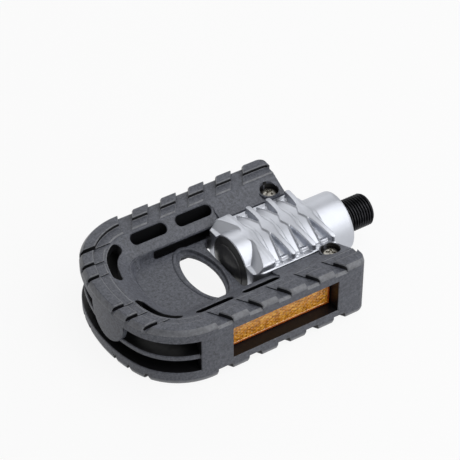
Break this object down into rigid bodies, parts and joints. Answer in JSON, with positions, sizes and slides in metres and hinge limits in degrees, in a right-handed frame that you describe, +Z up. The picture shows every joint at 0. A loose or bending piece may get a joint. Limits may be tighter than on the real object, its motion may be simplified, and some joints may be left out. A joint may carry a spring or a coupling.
{
  "type": "folding bicycle pedal",
  "caption": "Folding bicycle pedal: a moulded platform cage that slides and folds on an aluminium barrel, which turns on a threaded steel axle.",
  "frame": {"origin": "on the axle's axis, in the plane of the collar face that seats on the crank", "axes": "+X along the axle to the crank, +Y across the foot's tread, +Z up, square to the tread"},
  "size_m": [0.129, 0.078, 0.0278],
  "materials": {
    "cage_nylon": "moulded glass-filled nylon with a fine grain",
    "cast_aluminium": "satin die casting",
    "black_steel": "blackened turned steel",
    "seal_rubber": "matt moulded rubber",
    "bush_bronze": "sintered bronze",
    "bright_steel": "turned and ground steel",
    "cap_plastic": "moulded plastic",
    "acetal": "moulded acetal, slightly shiny",
    "spring_steel": "rolled spring strip",
    "zinc_plate": "zinc-plated and passivated",
    "amber_lens": "clear amber plastic with prisms",
    "reflector_back": "orange plastic plate"
  },
  "bodies": {
    "axle": {"axle": "black_steel", "washer": "bright_steel", "locknut": "bright_steel"},
    "barrel": {"barrel": "cast_aluminium", "axle_seal": "seal_rubber", "inboard_bush": "bush_bronze", "outboard_bush": "bush_bronze", "end_cap": "cap_plastic"},
    "hinge_blocks": {"hinge_block_left": "acetal", "hinge_block_right": "acetal", "hinge_pin_left": "bright_steel", "hinge_pin_right": "bright_steel", "release_spring_left": "spring_steel", "release_spring_right": "spring_steel"},
    "cage": {"cage": "cage_nylon", "keeper_block_left": "acetal", "keeper_block_right": "acetal", "keeper_screw_left": "zinc_plate", "keeper_screw_right": "zinc_plate", "reflector_lens_left": "amber_lens", "reflector_lens_right": "amber_lens", "reflector_backing_left": "reflector_back", "reflector_backing_right": "reflector_back"}
  },
  "joints": [
    {"name": "barrel_spin", "type": "hinge", "parent": "axle", "child": "barrel", "pos_m": [0, 0, 0], "axis": [1, 0, 0], "continuous": true},
    {"name": "fold", "type": "hinge", "parent": "barrel", "child": "hinge_blocks", "pos_m": [-0.0311, 0, 0], "axis": [0, 1, 0], "range_deg": [0, 90]},
    {"name": "release", "type": "slide", "parent": "hinge_blocks", "child": "cage", "axis": [-1, 0, 0], "range_m": [0, 0.0026], "stiffness_N_per_m": 4000, "springref_m": -0.0015, "deforming": ["release_spring_left", "release_spring_right"]}
  ]
}
